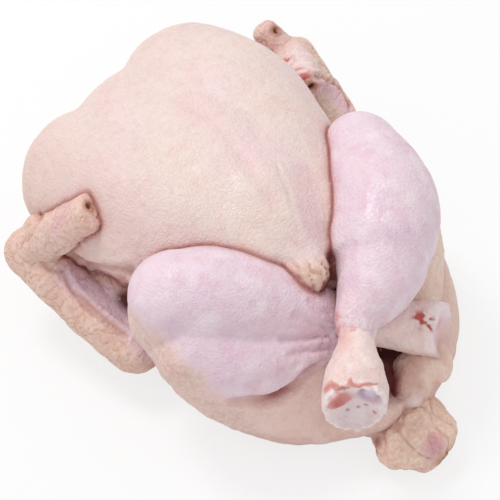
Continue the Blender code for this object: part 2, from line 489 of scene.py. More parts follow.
# %% [markdown]
# Colours of the parts of the bird. The breast is cream with a touch of pink. The drumsticks have thin
# skin over dark meat, which looks lilac. The back, rump, tail and wings are warmer and more yellow.

# %% Palette
CREAM = (0.81, 0.66, 0.62)
LILAC = (0.83, 0.66, 0.74)
WING_SKIN = (0.8, 0.57, 0.48)
ROSE = (0.78, 0.48, 0.5)
FAT = (0.88, 0.73, 0.64)
SHANK_SKIN = (0.88, 0.7, 0.67)
TAIL_SKIN = (0.95, 0.73, 0.6)
FLANK_SKIN = (0.9, 0.7, 0.6)
BLOOD = (0.5, 0.09, 0.07)
BROWN = (0.3, 0.1, 0.05)
# The last three colours are painted shade: the dark red one for gaps and the inside of the cavity, the deep
# one for slits, the crease one for creases.
MAROON_SHADE = (0.13, 0.025, 0.025)
DEEP_SHADE = (0.3, 0.09, 0.08)
CREASE_SHADE = (0.5, 0.22, 0.2)

# %% [markdown]
# The torso is the back and ribs, two fat breast muscles, the keel between them and the ridges of the
# rump. The body cavity is cut through the middle of it from behind, and stays open under the crossed
# legs.

# %% Torso shapes
TRUNK = (
    (6, 86, 46, 46, 36), (8, 66, 43, 56, 41), (11, 30, 42, 58, 42), (12, 0, 38, 54, 38),
    (12, -35, 31, 47, 31), (11, -62, 23, 38, 22), (6, -88, 17, 22, 16),
)
BREAST_LEFT = (
    (-26.5, 80, 56, 33, 34), (-25, 54, 65, 37, 38), (-18, 22, 69, 36, 35),
    (-10, -5, 71, 28, 28), (-5, -30, 72, 20, 20), (-4, -38, 76, 12, 12),
)
BREAST_RIGHT = (
    (36, 79, 62, 37, 38), (38, 54, 69, 38, 38), (33, 22, 70, 34, 35),
    (24, -5, 71, 28, 28), (12, -30, 71, 21, 21), (5, -38, 75, 13, 13),
)
KEEL = (
    (6, 74, 60, 50, 38), (7, 50, 67, 60, 38), (7, 22, 70, 54, 37),
    (5, -5, 76, 35, 30), (1, -28, 79, 19, 18), (-2, -40, 82, 8.5, 8.5),
)
RUMP_LEFT = ((-42, -32, 25, 18, 21), (-33, -54, 26, 19, 19), (-17, -73, 26, 17, 16), (-4, -85, 27, 13, 13))
RUMP_RIGHT = ((67, -33, 28, 16, 20), (54, -60, 20, 17, 16), (38, -79, 16, 13, 13), (22, -88, 17, 9, 9))
CAVITY = (
    (10, 40, 43, 20, 18), (12, 12, 42, 31, 25), (12, -14, 42, 33, 26), (12, -40, 44, 29, 24),
    (11, -65, 47, 21, 21), (8, -90, 50, 16, 20), (6, -125, 54, 14, 20),
)


def build_torso():
    bm = bmesh.new()
    loft(bm, table_stations(TRUNK), start_dome=0.5, end_dome=0.7)
    for table in (BREAST_LEFT, BREAST_RIGHT, KEEL):
        loft(bm, table_stations(table), start_dome=0.9)
    for table in (RUMP_LEFT, RUMP_RIGHT):
        loft(bm, table_stations(table))
    torso = mesh_of("torso", bm)
    bm = bmesh.new()
    loft(bm, table_stations(CAVITY))
    cutter = mesh_of("cavity_cutter", bm)
    welded = weld(torso, 1.35, 24, cutter)
    bpy.data.objects.remove(cutter)
    return Skin(welded, CREAM)


torso = build_torso()

# %% [markdown]
# The breast skin lies nearly smooth over the muscle, with a faint line along the keel. It bunches into
# short crinkles at the tip of the keel and in the armpit, where the wing draws it. The rump is tighter
# and more tan.

# %% Torso folds and colours
def sculpt_torso(skin):
    x, y, z = skin.points.T
    keel = [(8, 70, 103), (13, 36, 106), (6, 5, 107), (-1, -27, 101), (-3, -44, 92)]
    skin.fold(keel, 6.0, 0.6, 0.4)
    armpit = smooth_step(-38, -48, x) * smooth_step(68, 56, z)
    armpit = armpit * smooth_step(58, 46, y) * smooth_step(-14, 4, y)
    ribs = np.abs(skin.grain((0.05, 0.05, 0.2), 3.0))
    skin.push(-armpit * (6.0 - 4.0 * smooth_step(0.0, 0.25, ribs)))
    tip = smooth_step(0.0, 0.5, skin.near([(-16, -38, 86), (-8, -44, 84), (2, -46, 82)], 12))
    pleats = np.abs(skin.grain((0.45, 0.12, 0.2), 9.0))
    skin.push(tip * (np.minimum(pleats, 0.3) - 0.2) * 5.0)
    skin.push(0.6 * skin.grain(0.06, 5.0) + 0.2 * skin.grain(0.16, 6.0))
    membrane = skin.near([(23, -10, 100), (8, -34, 97)], 11)
    skin.fold([(16, 0, 103), (8, -17, 102), (0, -32, 99)], 2.0, 0.5, 0.8)
    skin.push(2.2 * skin.near([(-55, 36, 72), (-55, 26, 78)], 14))
    creases = (
        [(-64, 50, 56), (-63, 40, 62), (-61, 30, 69), (-56, 18, 76)],
        [(-63, 46, 53), (-62, 35, 58), (-59, 20, 68)],
        [(-62, 42, 50), (-60, 30, 53), (-57, 16, 62)],
        [(-61, 38, 47), (-57, 26, 49), (-55, 14, 57)],
    )
    for crease in creases:
        skin.fold(crease, 4.5, 2.2, 0.6)
    slit = [(12, -76, 29), (8, -84, 26), (3, -91, 23), (-4, -97, 20)]
    skin.fold(slit, 5.0, 3.0, 0.1)
    gap = [(10, -44, 85), (6, -50, 80), (2, -55, 76), (-1, -59, 74)]
    skin.fold(gap, 8.0, 5.0, 0.0)
    rump = smooth_step(-30, -60, y) * smooth_step(62, 50, z)
    skin.push(rump * 0.3 * skin.grain(0.25, 7.0))
    hollow = skin.along(smooth_stations(table_stations(CAVITY)))[1]
    inside = smooth_step(1.25, 1.02, hollow) * smooth_step(-100, -80, y)
    skin.write()
    broad = skin.grain(0.03, 11.0)
    skin.paint(0.5 * smooth_step(0.0, 0.45, broad), (0.84, 0.64, 0.66))
    skin.paint(0.4 * smooth_step(0.0, 0.45, -broad), (0.85, 0.71, 0.63))
    skin.paint(0.4 * smooth_step(0.1, 0.5, skin.grain(0.09, 13.0)), (0.8, 0.59, 0.59))
    # Painted shade: the breast darker on its left side and towards the neck end.
    skin.paint(0.7 * smooth_step(-10, -56, x), (0.75, 0.56, 0.52))
    skin.paint(0.5 * smooth_step(60, 105, y), (0.77, 0.59, 0.55))
    skin.paint(0.3 * skin.near(keel, 5), (0.84, 0.62, 0.6))
    skin.paint(0.5 * smooth_step(0.1, 0.6, membrane), (0.78, 0.55, 0.6))
    skin.paint(0.9 * smooth_step(92, 50, z), (0.78, 0.57, 0.5))
    skin.paint(0.8 * tip, (0.84, 0.61, 0.49))
    # Painted shade in the valleys of the pleats at the keel tip.
    skin.paint(tip * smooth_step(0.16, 0.04, pleats) * 0.8, (0.58, 0.28, 0.2))
    skin.paint(0.8 * rump, (0.84, 0.61, 0.55))
    # Painted shade on the underside of the rump.
    skin.paint(rump * smooth_step(34, 6, z) * 0.5, (0.68, 0.44, 0.42))
    skin.paint(rump * smooth_step(20, 40, x) * 0.7, (0.88, 0.68, 0.58))
    # Painted shade in the armpit hollow, darkest in its rib creases.
    skin.paint(armpit * 0.7, (0.7, 0.45, 0.42))
    skin.paint(armpit * smooth_step(0.18, 0.03, ribs), (0.45, 0.2, 0.18))
    # Painted shade: dark red in the gap under the left wing.
    skin.paint(skin.near([(-52, 14, 48), (-50, 0, 46)], 16) * 1.6, MAROON_SHADE)
    # Painted shade along the armpit creases.
    for crease in creases:
        skin.paint(0.7 * skin.near(skin.snapped(crease), 2.6), CREASE_SHADE)
    skin.paint(1.6 * skin.near(slit, 9), DEEP_SHADE)
    # Painted shade in the dark gap beside the keel tip.
    skin.paint(1.6 * skin.near(skin.snapped(gap), 7.0), (0.22, 0.06, 0.05))
    # More painted shade over the armpit.
    skin.paint(armpit * 0.5, (0.66, 0.42, 0.42))
    # Painted shade: dark red in the gap under the wing, further back.
    skin.paint(1.5 * skin.near([(-55, 22, 46), (-54, 6, 44)], 9), MAROON_SHADE)
    skin.paint(0.9 * skin.near([(86, 40, 54), (88, 34, 52)], 9), FAT)
    # The inside of the cavity: dark red flesh, painted darker still as shade.
    skin.paint(inside, MAROON_SHADE)
    skin.follicles[:] = 0.25 * smooth_step(80, 40, z) + 0.2 * rump
    skin.crinkle[:] = 0.55 + tip
    skin.wet[:] = 0.3 + 0.7 * skin.near([(-10, 0, 100), (10, -25, 100)], 30)


sculpt_torso(torso)

# %% [markdown]
# A leg is the thigh, from the hip up to the bent knee, and the drumstick, a fat calf that thins towards
# the ankle. Its skin tapers into the pale shank a little above the ankle. The left calf is two muscles,
# one below the other.

# %% Leg shapes
KNEE = {"left": mm(-53, -8, 82), "right": mm(59.5, -10.5, 85)}
CALF = {"left": mm(-29.5, -28.5, 73.5), "right": mm(47.5, -36, 83)}
SHIN = {"left": mm(2, -56, 56), "right": mm(-3, -69, 78)}
ANKLE = {"left": mm(37, -85, 43), "right": mm(-31, -95, 73)}
HIP = {"left": mm(-20, -64, 26), "right": mm(37, -58, 20)}
DRUMSTICK = {
    "left": (
        (0.00, 20, 20), (0.10, 23, 23), (0.18, 23, 23), (0.26, 22, 22), (0.38, 19.5, 19.5),
        (0.46, 17.5, 17.5), (0.55, 14.5, 14.5), (0.63, 12, 12), (0.70, 10.5, 10.5), (0.76, 9.5, 9.5),
    ),
    "right": (
        (0.00, 18, 18), (0.10, 22, 22), (0.24, 25, 25), (0.36, 24.5, 24.5), (0.42, 23.3, 23.3),
        (0.48, 20.5, 20.5), (0.56, 17.5, 17.5), (0.63, 14, 14), (0.69, 10.8, 10.8), (0.74, 9, 9),
        (0.79, 7.4, 7.4), (0.82, 6, 6),
    ),
}


def leg_line(side):
    """Knee to ankle. The right calf also bows outwards above the shin."""
    bow = [mm(20, -60.5, 78.5)] if side == "right" else []
    return [KNEE[side], CALF[side], *bow, SHIN[side], ANKLE[side]]


def thigh_stations(side):
    knee, hip = KNEE[side], HIP[side]
    outward = -1 if side == "left" else 1
    middle = knee.lerp(hip, 0.5) + Vector((6 * outward, 0, -8)) * MM
    low_knee = knee + Vector((2 * outward, 0, -12)) * MM
    return [(hip, 22 * MM, 20 * MM), (middle, 26 * MM, 28 * MM), (low_knee, 19 * MM, 20 * MM)]


UNDER_CALF = (
    (-55, -26, 64, 21, 21), (-49, -40, 62, 18.5, 18.5), (-38, -49, 61, 15, 15),
    (-24, -54, 60, 11.5, 11.5), (-8, -57, 59, 9, 9), (6, -58, 57, 6, 6),
)


def build_leg(side):
    bm = bmesh.new()
    loft(bm, thigh_stations(side))
    if side == "left":
        loft(bm, table_stations(UNDER_CALF))
    loft(bm, line_stations(leg_line(side), DRUMSTICK[side]), end_dome=0.4)
    return Skin(weld(mesh_of("leg_" + side, bm), 1.05, 14), LILAC)


legs = {side: build_leg(side) for side in ("left", "right")}

# %% [markdown]
# Both legs get lilac skin with soft cloudy patches, pleats that gather towards the ankle, and a cream
# edge along the knee. The outer thigh turns to beige goose flesh. The left leg also shows a shallow
# valley between its two calf muscles, a crease above the rump and fans of folds at both ends of it.
# Shade is painted into the ankle pleats, the valley and the crease.

# %% Leg folds and colours
def leg_masks(skin, side):
    """(share along the drumstick, how much a point belongs to the thigh)."""
    share, over = skin.along(smooth_stations(line_stations(leg_line(side), DRUMSTICK[side])))
    if side == "left":
        under = skin.along(smooth_stations(table_stations(UNDER_CALF)))
        share = np.where(under[1] < over, 0.3 + 0.7 * under[0], share)
        over = np.minimum(over, under[1])
    thigh = skin.along(smooth_stations(thigh_stations(side)))[1]
    return share, smooth_step(-0.1, 0.22, over - thigh)


RUMP_CREASE = [
    (-61, -54, 59), (-57, -57, 59), (-50, -60, 56), (-44, -61, 54),
    (-37, -64, 57), (-31, -65, 60), (-20, -66, 58),
]


def sculpt_left_folds(skin):
    """The crease above the rump, and the folds that fan out at both ends of it."""
    skin.fold(RUMP_CREASE, 5.0, 2.8, 0.5)
    fans = (
        ((-60, -53, 52), (-66, -46, 42)), ((-59, -55, 49), (-64, -49, 37)), ((-57, -57, 50), (-61, -52, 35)),
        ((-51, -60, 50), (-55, -60, 42)), ((-9, -62, 62), (-32, -52, 74)), ((-9, -63, 60), (-34, -57, 68)),
        ((-10, -63, 58), (-32, -60, 63)), ((-8, -60, 64), (-22, -46, 77)), ((-6, -58, 66), (-14, -47, 76)),
    )
    for start, end in fans:
        skin.fold([start, end], 3.0, 0.8, 0.5)


def sculpt_leg(skin, side):
    share, on_thigh = leg_masks(skin, side)
    knot = skin.grain(0.05, 21.0)
    ankle = smooth_step(0.5, 0.9, share) * (1.0 - on_thigh)
    pleats = np.abs(skin.grain((0.16, 0.3, 0.3), 23.0))
    skin.push(0.6 * knot + 0.25 * skin.grain(0.15, 22.0) - 0.8 * ankle * smooth_step(0.2, 0.0, pleats))
    if side == "left":
        sculpt_left_folds(skin)
        ragged = 3.0 * skin.grain(0.12, 29.0)
        above = (skin.points - (-60, -52, 56)) @ (0.232, 0.511, 0.83)
        inner = (skin.points - (-62, -27, 66)) @ (0.908, -0.057, 0.414) + ragged
        lilac = smooth_step(-0.6, 1.2, above) * smooth_step(-8.0, 3.0, inner)
        bumpy = smooth_step(0.0, -8.0, inner)
    else:
        lilac = 1.0 - on_thigh
        bumpy = on_thigh
    skin.push(bumpy * (0.3 * skin.grain(0.35, 25.0) + 0.4 * skin.grain(0.1, 26.0)))
    skin.write()
    skin.paint(0.6 * smooth_step(0.05, 0.5, knot), (0.76, 0.54, 0.66))
    skin.paint(0.5 * smooth_step(0.1, 0.5, skin.grain(0.11, 27.0)), (0.89, 0.77, 0.81))
    skin.paint(0.5 * smooth_step(0.15, 0.5, skin.grain(0.14, 28.0)), (0.79, 0.56, 0.64))
    skin.paint(0.5 * ankle, (0.86, 0.66, 0.68))
    # Painted shade in the valleys of the ankle pleats.
    skin.paint(ankle * smooth_step(0.1, 0.0, pleats) * 0.4, (0.74, 0.42, 0.44))
    skin.paint(1.0 - lilac, (0.84, 0.62, 0.56) if side == "left" else (0.88, 0.69, 0.6))
    if side == "left":
        knee_edge = [(-64, 12, 66), (-54, 22, 76), (-47, 16, 86), (-36, 5, 92)]
        skin.paint(0.9 * skin.near(knee_edge, 6), FAT)
        valley = [(-60, -34, 76), (-50, -44, 72), (-38, -52, 68), (-12, -60, 62)]
        # Painted shade in the valley between the two calf muscles.
        skin.paint(0.45 * skin.near(valley, 12), (0.66, 0.44, 0.56))
        skin.paint(0.8 * bumpy * smooth_step(0.0, -0.6, skin.grain(0.2, 24.0)), (0.8, 0.65, 0.56))
        skin.paint(0.6 * bumpy, (0.8, 0.63, 0.58))
        # Painted shade in the crease above the rump, darkest along its line.
        skin.paint(0.5 * skin.near(RUMP_CREASE, 7.0), (0.7, 0.42, 0.4))
        skin.paint(1.2 * skin.near(RUMP_CREASE, 3.6), (0.4, 0.14, 0.14))
        skin.follicles[:] = 0.8 * bumpy
    else:
        skin.paint(0.9 * skin.near([(44, 8, 90), (58, 12, 92), (70, 6, 92)], 6), FAT)
        red = skin.near([(-10, -60, 79), (-12, -65, 79), (-16, -71, 80), (-14, -73, 83)], 7)
        skin.paint(1.2 * red * smooth_step(-0.3, 0.3, skin.grain(0.3, 20.0)), (0.8, 0.38, 0.38))
        skin.follicles[:] = 0.4 * bumpy
    skin.crinkle[:] = 0.45 + 0.5 * ankle
    skin.wet[:] = 0.3 + 0.7 * lilac


for side, skin in legs.items():
    sculpt_leg(skin, side)

# %% [markdown]
# The shank is the bare knob of the ankle joint where the foot was cut off. It is one loft that turns back
# into itself at the end, so that the cut face is a shallow bowl with a rim.

# %% Shank shapes
SHANK = {
    "left": ((0.66, 9, 9), (0.76, 9.8, 9.8), (0.86, 11.3, 11.3), (0.94, 12.6, 12.6), (1.0, 12.8, 12.8)),
    "right": (
        (0.68, 6.8, 6.8), (0.74, 7.4, 7.4), (0.79, 8, 8), (0.84, 9.8, 9.8), (0.90, 12.6, 12.6),
        (0.96, 13.8, 13.8), (1.02, 13.6, 13.6),
    ),
}
CUT_FACING = {"left": Vector((0.40, -0.84, 0.30)), "right": Vector((-0.66, -0.70, 0.27))}
CUT_RADIUS = 13.2
BOWL_RINGS = ((0.5, 0.97), (0.7, 0.91), (0.1, 0.82), (-0.6, 0.7), (-0.9, 0.5), (-1.0, 0.3), (-1.0, 0.1))


def cut_centre(side):
    return line_stations(leg_line(side), SHANK[side])[-1][0]


def build_shank(side, sides=72):
    """Rings along the ankle, then smaller rings that step back into the end as a bowl."""
    stations = smooth_stations(line_stations(leg_line(side), SHANK[side]), 8)
    facing = CUT_FACING[side].normalized()
    matrices = []
    for i, (centre, wide, high) in enumerate(stations):
        turn = smooth_step(0.55, 1.0, i / (len(stations) - 1))
        ahead = way_ahead(stations, i).lerp(facing, float(turn)).normalized()
        matrices.append(ring_matrix(centre, ahead, wide, high))
    centre, wide, high = stations[-1]
    for out, size in BOWL_RINGS:
        matrices.append(ring_matrix(centre + facing * out * MM, facing, wide * size, high * size))
    bm = bmesh.new()
    grow_tube(bm, matrices, sides)
    return Skin(weld(mesh_of("shank_" + side, bm), 0.5, 4), SHANK_SKIN)


shanks = {side: build_shank(side) for side in ("left", "right")}

# %% [markdown]
# The shank's skin is cream with fine veins. The rim of the cut is white and ragged, the bowl is bluish
# gristle, and one red-brown knuckle of cartilage shows in it. Blood has run into the torn edge.

# %% Shank details
class CutFace:
    """Places on a shank's cut end, in millimetres: across and up in its plane, and out along its axis."""

    def __init__(self, skin, side):
        facing = np.array(CUT_FACING[side].normalized())
        level = np.cross(facing, (0.0, 0.0, 1.0))
        level = -level / np.linalg.norm(level)
        offset = skin.points - np.array((cut_centre(side) - PLACE) / MM)
        self.facing = facing
        self.out = offset @ facing
        self.across = offset @ level
        self.up = offset @ np.cross(facing, level)
        self.spread = np.hypot(self.across, self.up) / CUT_RADIUS

    def spot(self, across, up, radius):
        """1 in the middle of a round spot and 0 at its edge."""
        return smooth_step(radius, 0.3 * radius, np.hypot(self.across - across, self.up - up))


def sculpt_shank(skin, side):
    face = CutFace(skin, side)
    front = smooth_step(-3.0, -1.0, face.out)
    cut = front * smooth_step(0.93, 0.86, face.spread)
    rim = smooth_step(-2.0, -0.4, face.out) * (1.0 - cut)
    lumps = skin.grain(0.14, 35.0)
    ragged = skin.grain(0.45, 33.0)
    skin.push(0.7 * lumps * (1.0 - front) + 0.3 * skin.grain(0.4, 36.0))
    skin.points += np.outer(rim * ragged * 1.6, face.facing)
    knuckle, socket = cut * face.spot(-7.0, 4.5, 7.5), cut * face.spot(6.0, 5.5, 7.0)
    bowl = cut * face.spot(0.5, -4.5, 11.0)
    if side == "right":
        skin.points += np.outer(2.8 * knuckle - 3.4 * socket - 3.4 * bowl, face.facing)
    else:
        skin.points += np.outer(1.5 * face.spot(0.0, 5.0, 7.0) * cut - 1.0 * bowl, face.facing)
    skin.write()
    skin.paint(0.5 * smooth_step(0.0, 0.5, lumps), (0.9, 0.76, 0.72))
    skin.paint(0.7 * skin.near([(-14, -72, 81), (-19, -76, 83)], 7), (0.84, 0.46, 0.44))
    skin.paint(0.5 * smooth_step(0.1, 0.5, skin.grain(0.12, 37.0)), (0.84, 0.6, 0.54))
    veins = smooth_step(0.06, 0.0, np.abs(skin.grain(0.12, 31.0)))
    skin.paint(0.4 * veins * (1.0 - front), (0.78, 0.5, 0.44))
    skin.paint(rim, (0.92, 0.8, 0.79))
    skin.paint(cut, (0.9, 0.77, 0.77) if side == "right" else (0.84, 0.6, 0.66))
    if side == "right":
        skin.paint(0.7 * bowl, (0.85, 0.69, 0.73))
        skin.paint(0.6 * cut * face.spot(2.0, -8.5, 6.0), (0.92, 0.86, 0.88))
        # The socket: bluish gristle, darkened with painted shade in its hollow.
        skin.paint(1.4 * socket, (0.6, 0.46, 0.56))
        skin.paint(cut * face.spot(6.5, 4.0, 3.5), (0.84, 0.76, 0.86))
        skin.paint(0.8 * cut * face.spot(-0.6, 6.5, 3.2), (0.86, 0.6, 0.62))
        skin.paint(2.0 * knuckle, (0.7, 0.3, 0.28))
        skin.paint(cut * face.spot(-7.0, 4.5, 4.5), (0.58, 0.17, 0.15))
        for across, up in ((1.9, -3.9), (5.0, -2.2), (8.5, -4.5), (-2.5, -5.5)):
            skin.paint(0.8 * cut * face.spot(across, up, 1.3), (0.5, 0.26, 0.2))
        tear = [(-13, 7), (-10.5, 10.5), (-7, 11.5), (-4.5, 11.3), (-2, 14), (-1.5, 13), (4, 13.2), (9, 11.5)]
        level = np.array([face.across, face.up]).T
        line = np.full(skin.count, 9.0)
        for a, b in zip(tear, tear[1:]):
            run = np.subtract(b, a)
            part = np.clip((level - a) @ run / (run @ run), 0.0, 1.0)
            line = np.minimum(line, np.linalg.norm(level - a - part[:, None] * run, axis=1))
        width = 0.9 * smooth_step(10.0, -6.0, face.across) + 0.35
        torn = smooth_step(1.0, 0.3, line / width) * smooth_step(-6.0, -3.0, face.out)
        skin.paint(0.8 * torn, (0.6, 0.16, 0.12))
    else:
        skin.paint(cut * smooth_step(0.45, 0.75, face.spread), (0.9, 0.78, 0.8))
        skin.paint(0.8 * cut * face.spot(0.0, 4.0, 5.0), (0.72, 0.36, 0.4))
        spot = skin.near([(27, -80, 57), (29, -83, 54)], 6) * smooth_step(-0.05, 0.25, skin.grain(0.35, 39.0))
        skin.paint(1.6 * spot, BLOOD)
        # Painted shade on the underside of the shank.
        skin.paint(0.6 * smooth_step(44, 34, skin.points[:, 2]), (0.74, 0.48, 0.38))
    skin.crinkle[:] = 0.4
    skin.wet[:] = 0.8 * front + 0.3


for side, skin in shanks.items():
    sculpt_shank(skin, side)

# %% [markdown]
# Each wing is folded flat against the breast: the upper arm runs back from the shoulder, mostly hidden,
# the forearm runs forward from the elbow, and the hand comes back over it, with the thumb beside it. Each
# is one loft.

# %% Wing shapes
ELBOW = {"left": mm(-61, 11, 27), "right": mm(86, 20, 32)}
WRIST = {"left": mm(-70, 74, 48), "right": mm(94, 67, 56)}
HAND_CUT = {"left": mm(-53, 45, 91), "right": mm(79, 44, 67)}
THUMB_TIP = {"left": mm(-63, 72, 64), "right": mm(90, 83, 67)}
SHOULDER = {"left": mm(-36, 60, 40), "right": mm(54, 60, 40)}


def build_wing(side):
    bm = bmesh.new()
    elbow, wrist = ELBOW[side], WRIST[side]
    upper_arm = line_stations([SHOULDER[side], elbow], ((0, 17, 17), (0.5, 15, 15), (1, 12, 12)))
    forearm = line_stations([elbow, wrist], ((0, 13, 12), (0.3, 14, 11), (0.7, 13, 11), (1, 12, 11)))
    hand = line_stations([wrist, HAND_CUT[side]], ((0, 10, 10), (0.5, 10.5, 9.5), (1, 9.5, 8)))
    thumb = line_stations([wrist, THUMB_TIP[side]], ((0, 8, 8), (1, 6.5, 6)))
    loft(bm, upper_arm)
    loft(bm, forearm)
    loft(bm, hand, end_dome=0.3)
    loft(bm, thumb, end_dome=0.7)
    return Skin(weld(mesh_of("wing_" + side, bm), 0.75, 6), WING_SKIN)


wings = {side: build_wing(side) for side in ("left", "right")}

# %% [markdown]
# Wing skin is thick and bumpy. Cross wrinkles run over the hand, the cut ends are brown and hollow, and a
# smooth lilac strip of thin skin lies along the inner side of the forearm.

# %% Wing folds and colours
def hole(skin, centre, radius, depth):
    """A round dark hole with a brown rim."""
    distance = skin.distance(skin.snapped([centre, centre]))
    skin.push(-depth * smooth_step(radius, radius * 0.4, distance))
    skin.paint(0.8 * smooth_step(radius * 2.2, radius * 1.2, distance), (0.5, 0.24, 0.16))
    skin.paint(smooth_step(radius, radius * 0.6, distance), BROWN)


def sculpt_wing(skin, side):
    lumps = skin.grain(0.1, 41.0)
    bumps = skin.grain(0.3, 42.0)
    ripples = np.abs(skin.grain((0.1, 0.35, 0.3), 43.0))
    skin.push(0.9 * lumps + 0.2 * bumps - 0.5 * smooth_step(0.15, 0.0, ripples))
    skin.write()
    skin.paint(0.5 * smooth_step(0.1, 0.5, lumps), (0.84, 0.68, 0.6))
    skin.paint(0.35 * smooth_step(0.1, 0.5, -lumps), (0.72, 0.46, 0.4))
    # Painted shade in the valleys of the ripples.
    skin.paint(0.5 * smooth_step(0.14, 0.0, ripples), (0.7, 0.4, 0.3))
    skin.follicles[:] = 0.35
    skin.crinkle[:] = 0.6
    if side == "left":
        skin.fold([(-58, 50, 79), (-63, 52, 74), (-66, 54, 67)], 2.5, 1.6)
        skin.fold([(-73, 68, 64), (-67, 65, 70), (-63, 64, 73)], 2.5, 1.8)
        skin.fold([(-73, 59, 56), (-70, 54, 53), (-66, 53, 53)], 2.5, 1.2)
        strip = skin.near([(-66, 48, 50), (-62, 34, 46), (-59, 18, 41), (-60, 0, 36)], 11)
        skin.paint(0.6 * skin.near([(-52, 46, 86), (-64, 58, 70)], 15), (0.86, 0.68, 0.65))
        skin.paint(strip * 1.3, (0.8, 0.6, 0.68))
        skin.paint(0.8 * skin.near(skin.snapped([(-56, 50, 85), (-60, 53, 79)]), 7), ROSE)
        seam = [(-68, 52, 52), (-70, 42, 49), (-69, 32, 45), (-65, 13, 39)]
        skin.fold(seam, 3.0, 1.0, 0.6)
        # Painted shade along the seam fold.
        skin.paint(0.7 * skin.near(skin.snapped(seam), 1.8), (0.58, 0.32, 0.24))
        # Painted shade: dark red in the gap between the wing and the torso.
        skin.paint(1.5 * skin.near([(-55, 24, 47), (-54, 6, 43)], 8), MAROON_SHADE)
        skin.write()
        edge = skin.snapped([(-51.6, 43, 95), (-51, 42, 91), (-54, 40.5, 86), (-59, 41.5, 79)])
        speckle = smooth_step(-0.3, 0.2, skin.grain(0.5, 46.0))
        skin.paint(1.5 * skin.near(edge, 4) * speckle, (0.42, 0.18, 0.1))
        hole(skin, (-52, 44.5, 96), 2.0, 2.5)
        hole(skin, (-62.5, 69, 71), 2.0, 2.5)
    else:
        strip = skin.near([(86, 39, 66), (94, 39, 53), (96, 33, 49)], 10)
        skin.paint(strip * 1.2, (0.76, 0.53, 0.6))
        skin.paint(0.6 * skin.near([(92, 78, 68)], 16), (0.74, 0.5, 0.5))
        skin.paint(0.9 * skin.near([(90, 62, 66), (84, 50, 70)], 14), (0.88, 0.74, 0.75))
        for centre, reach in (((83, 61, 69), 6), ((78, 47, 73), 9)):
            speckle = smooth_step(-0.4, 0.2, skin.grain(0.3, 47.0))
            spot = skin.near(skin.snapped([centre, centre]), reach) * speckle
            skin.paint(1.5 * spot, (0.62, 0.17, 0.15))
        torn = skin.snapped([(85, 42, 72), (90, 42, 66), (98, 44, 55), (101, 40, 49), (98, 31, 47)])
        skin.fold(torn, 3.0, 1.0, 0.8)
        speckle = smooth_step(-0.3, 0.2, skin.grain(0.5, 48.0))
        skin.paint(1.3 * skin.near(torn, 3) * speckle, (0.5, 0.25, 0.16))
        skin.paint(0.9 * skin.near([(86, 40, 54), (88, 34, 52)], 9), FAT)
        skin.write()
        hole(skin, (93, 77, 71), 2.0, 2.5)
        hole(skin, (80, 41, 69), 2.0, 2.5)


for side, skin in wings.items():
    sculpt_wing(skin, side)

# %% [markdown]
# The tail is a blunt, pebbled flap of fat, wider than it is long. Above its root the slack skin of the
# right flank hangs over the side of the body opening as one thick fold, which ends in three small lumps
# of fat.

# %% Tail and vent fold
TAIL_FLAP = ((6, -84, 15, 16, 11), (4, -101, 15, 19, 12), (6, -113, 14, 16, 10))
TAIL_SIDE = ((4, -98, 15, 12, 11), (-8, -105, 14, 11, 9))
FLANK_FOLD = (
    (50, -64, 21, 11, 11), (39, -78, 20, 11, 10), (28, -86, 27, 12, 11),
    (18, -88, 27, 10.5, 10), (11, -91, 23, 7, 8),
)
FAT_LUMPS = ((9, -95, 27, 4.5), (4, -93, 26, 3.5), (13, -94, 24, 4))


def build_tail():
    bm = bmesh.new()
    loft(bm, table_stations(TAIL_FLAP), end_dome=0.8)
    loft(bm, table_stations(TAIL_SIDE))
    return Skin(weld(mesh_of("tail", bm), 0.8, 8), TAIL_SKIN)


def build_vent_fold():
    bm = bmesh.new()
    loft(bm, table_stations(FLANK_FOLD))
    for x, y, z, size in FAT_LUMPS:
        place = Matrix.Translation(mm(x, y, z))
        bmesh.ops.create_icosphere(bm, subdivisions=3, radius=size * MM, matrix=place)
    return Skin(weld(mesh_of("vent_fold", bm), 0.8, 6), FLANK_SKIN)


def sculpt_tail(skin):
    wrinkles = np.abs(skin.grain((0.13, 0.07, 0.13), 51.0))
    lumps = skin.grain(0.12, 53.0)
    pebbles = skin.grain(0.35, 54.0)
    skin.push(-0.9 * smooth_step(0.16, 0.0, wrinkles) + 0.6 * lumps + 0.3 * pebbles)
    skin.fold([(-6, -100, 26), (-2, -96, 27), (6, -98, 28)], 3.0, 1.2)
    skin.write()
    # Painted shade in the wrinkle valleys.
    skin.paint(0.35 * smooth_step(0.12, 0.0, wrinkles), (0.68, 0.42, 0.33))
    skin.paint(0.4 * smooth_step(0.0, 0.5, skin.grain(0.12, 55.0)), (0.8, 0.55, 0.48))
    skin.paint(0.9 * skin.near([(0, -117, 22), (2, -116, 22)], 9), (0.72, 0.4, 0.47))
    skin.paint(1.2 * skin.near([(4, -120, 12), (9, -117, 12)], 9), (0.48, 0.19, 0.11))
    # Painted shade in the slit at the tail root.
    skin.paint(1.2 * skin.near([(4, -93, 24), (-6, -96, 22), (-12, -96, 17)], 5), (0.35, 0.12, 0.1))
    # Painted shade low down, where the tail meets the table.
    skin.paint(0.6 * smooth_step(10, 2, skin.points[:, 2]), (0.62, 0.36, 0.27))
    skin.follicles[:] = 0.9
    skin.crinkle[:] = 0.5


